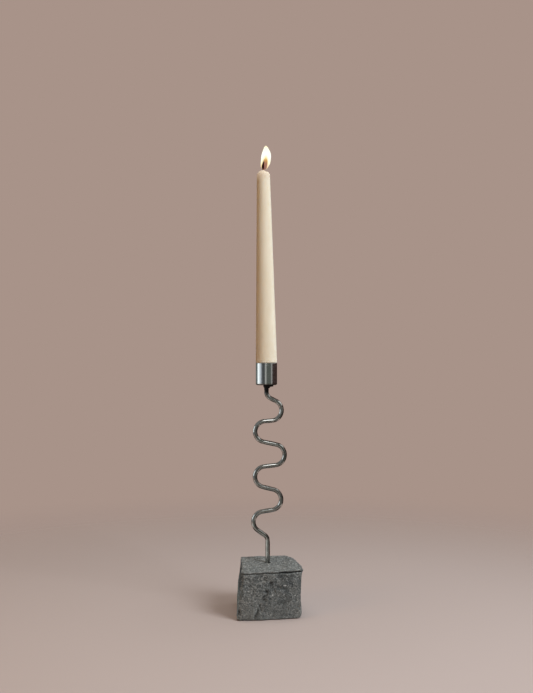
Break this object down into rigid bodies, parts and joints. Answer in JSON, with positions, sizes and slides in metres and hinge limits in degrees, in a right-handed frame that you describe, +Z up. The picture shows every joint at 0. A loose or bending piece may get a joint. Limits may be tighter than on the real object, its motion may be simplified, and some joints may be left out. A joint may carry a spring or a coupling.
{
  "type": "candle holder",
  "caption": "Candle holder with a rough-hewn stone block, a wavy bent steel rod stem and a polished steel cup that holds a removable taper candle.",
  "frame": {"origin": "on the table, under the middle of the stone block's bounding box", "axes": "+Z up along the stem; +X to the right with the wave of the stem in the XZ plane; +Y to the back"},
  "size_m": [0.0706, 0.075, 0.4827],
  "materials": {
    "stone": "rough split",
    "felt": "pressed felt",
    "resin": "cured resin",
    "rod_steel": "bare mill steel",
    "weld_scale": "burnt weld scale",
    "cup_steel": "polished",
    "wax": "smooth ivory wax",
    "wick": "charred braid"
  },
  "bodies": {
    "holder": {"stone_base": "stone", "resin_sleeve": "resin", "wavy_stem": "rod_steel", "weld_bead": "weld_scale", "candle_cup": "cup_steel", "felt_pad_front_left": "felt", "felt_pad_front_right": "felt", "felt_pad_back_left": "felt", "felt_pad_back_right": "felt"},
    "candle": {"candle_wax": "wax", "wick": "wick"}
  },
  "joints": [
    {"name": "candle_lift", "type": "slide", "parent": "holder", "child": "candle", "axis": [0, 0, 1], "range_m": [0, 0.06]}
  ]
}
